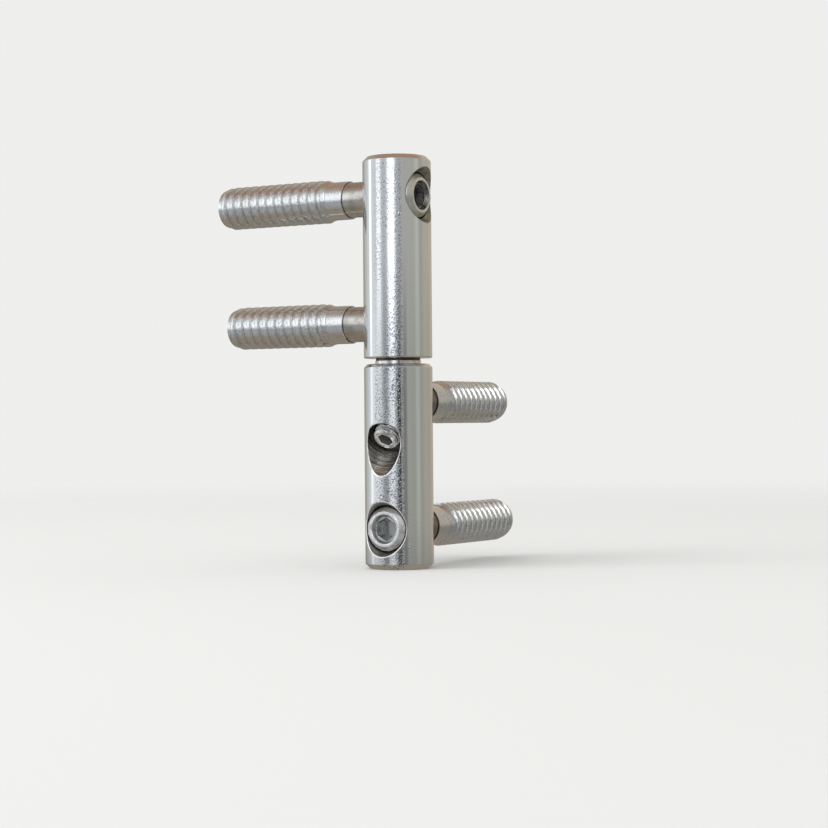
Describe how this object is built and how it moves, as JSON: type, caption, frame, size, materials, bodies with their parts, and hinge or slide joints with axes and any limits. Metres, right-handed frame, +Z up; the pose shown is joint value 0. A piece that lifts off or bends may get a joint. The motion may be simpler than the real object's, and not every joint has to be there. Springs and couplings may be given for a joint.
{
  "type": "adjustable barrel hinge",
  "caption": "Steel barrel hinge for a rebated wooden door: coaxial barrels on a pivot pin, cross pins at right angles in threaded sleeves, and hex screws that adjust it.",
  "frame": {"origin": "middle of the lower barrel's flat foot, on the pivot axis", "axes": "+Z up along the pivot axis, +Y into the frame along the lower barrel's pins, -X into the leaf along the upper barrel's pins while the leaf is shut"},
  "size_m": [0.0707, 0.0684, 0.12],
  "materials": {
    "barrel_zinc": "bright zinc plating on turned steel, shiny and finely speckled, with the wear of handling",
    "screw_steel": "plated steel screw, satin, darker in its socket",
    "pin_steel": "turned steel pin, satin",
    "sleeve_zinc": "bright zinc plating on a threaded steel sleeve",
    "spring_steel": "dark tempered spring steel",
    "bronze": "plain bearing bronze, dull",
    "bush_polymer": "dark bearing plastic"
  },
  "bodies": {
    "frame_anchor": {"frame_threaded_sleeve": "sleeve_zinc", "frame_guide_sleeve": "sleeve_zinc"},
    "frame_part": {"frame_barrel": "barrel_zinc", "frame_guide_pin": "pin_steel", "frame_screw_washer": "spring_steel", "frame_snap_ring": "spring_steel"},
    "frame_screw": {"frame_adjusting_screw": "screw_steel"},
    "height_pad": {"height_pressure_pad": "bronze"},
    "height_screw": {"height_set_screw": "screw_steel"},
    "pivot": {"pivot_pin": "pin_steel"},
    "washer": {"thrust_washer": "bronze"},
    "leaf_part": {"leaf_barrel": "barrel_zinc", "leaf_guide_pin": "pin_steel", "leaf_screw_washer": "spring_steel", "leaf_snap_ring": "spring_steel", "bearing_bush": "bush_polymer"},
    "leaf_screw": {"leaf_adjusting_screw": "screw_steel"},
    "leaf_anchor": {"leaf_threaded_sleeve": "sleeve_zinc", "leaf_guide_sleeve": "sleeve_zinc"}
  },
  "joints": [
    {"name": "frame_depth_slide", "type": "slide", "parent": "frame_anchor", "child": "frame_part", "axis": [0, 1, 0], "range_m": [-0.0025, 0.0025]},
    {"name": "frame_screw_turn", "type": "hinge", "parent": "frame_part", "child": "frame_screw", "pos_m": [0, 0, 0.01165], "axis": [0, 1, 0], "range_deg": [-725, 725]},
    {"name": "height_pad_slide", "type": "slide", "parent": "frame_part", "child": "height_pad", "axis": [0, 0.7071, 0.7071], "range_m": [0, 0.0022]},
    {"name": "height_screw_turn", "type": "hinge", "parent": "height_pad", "child": "height_screw", "pos_m": [0, -0.01, 0.0348], "axis": [0, 0.7071, 0.7071], "range_deg": [0, 615]},
    {"name": "pivot_lift", "type": "slide", "parent": "frame_part", "child": "pivot", "axis": [0, 0, 1], "range_m": [0, 0.003]},
    {"name": "leaf_swing", "type": "hinge", "parent": "pivot", "child": "washer", "pos_m": [0, 0, 0.0605], "axis": [0, 0, 1], "range_deg": [0, 180]},
    {"name": "leaf_lift_off", "type": "slide", "parent": "washer", "child": "leaf_part", "axis": [0, 0, 1], "range_m": [0, 0.03]},
    {"name": "leaf_screw_turn", "type": "hinge", "parent": "leaf_part", "child": "leaf_screw", "pos_m": [0, 0, 0.10835], "axis": [-1, 0, 0], "range_deg": [-870, 870]},
    {"name": "leaf_side_slide", "type": "slide", "parent": "leaf_part", "child": "leaf_anchor", "axis": [-1, 0, 0], "range_m": [-0.003, 0.003]}
  ],
  "couplings": [
    {"joint": "frame_screw_turn", "follows": "frame_depth_slide", "rad_per_m": 5026.6},
    {"joint": "height_pad_slide", "follows": "pivot_lift", "ratio": 0.70711},
    {"joint": "height_screw_turn", "follows": "pivot_lift", "rad_per_m": 3554.3},
    {"joint": "leaf_screw_turn", "follows": "leaf_side_slide", "rad_per_m": -5026.6}
  ]
}
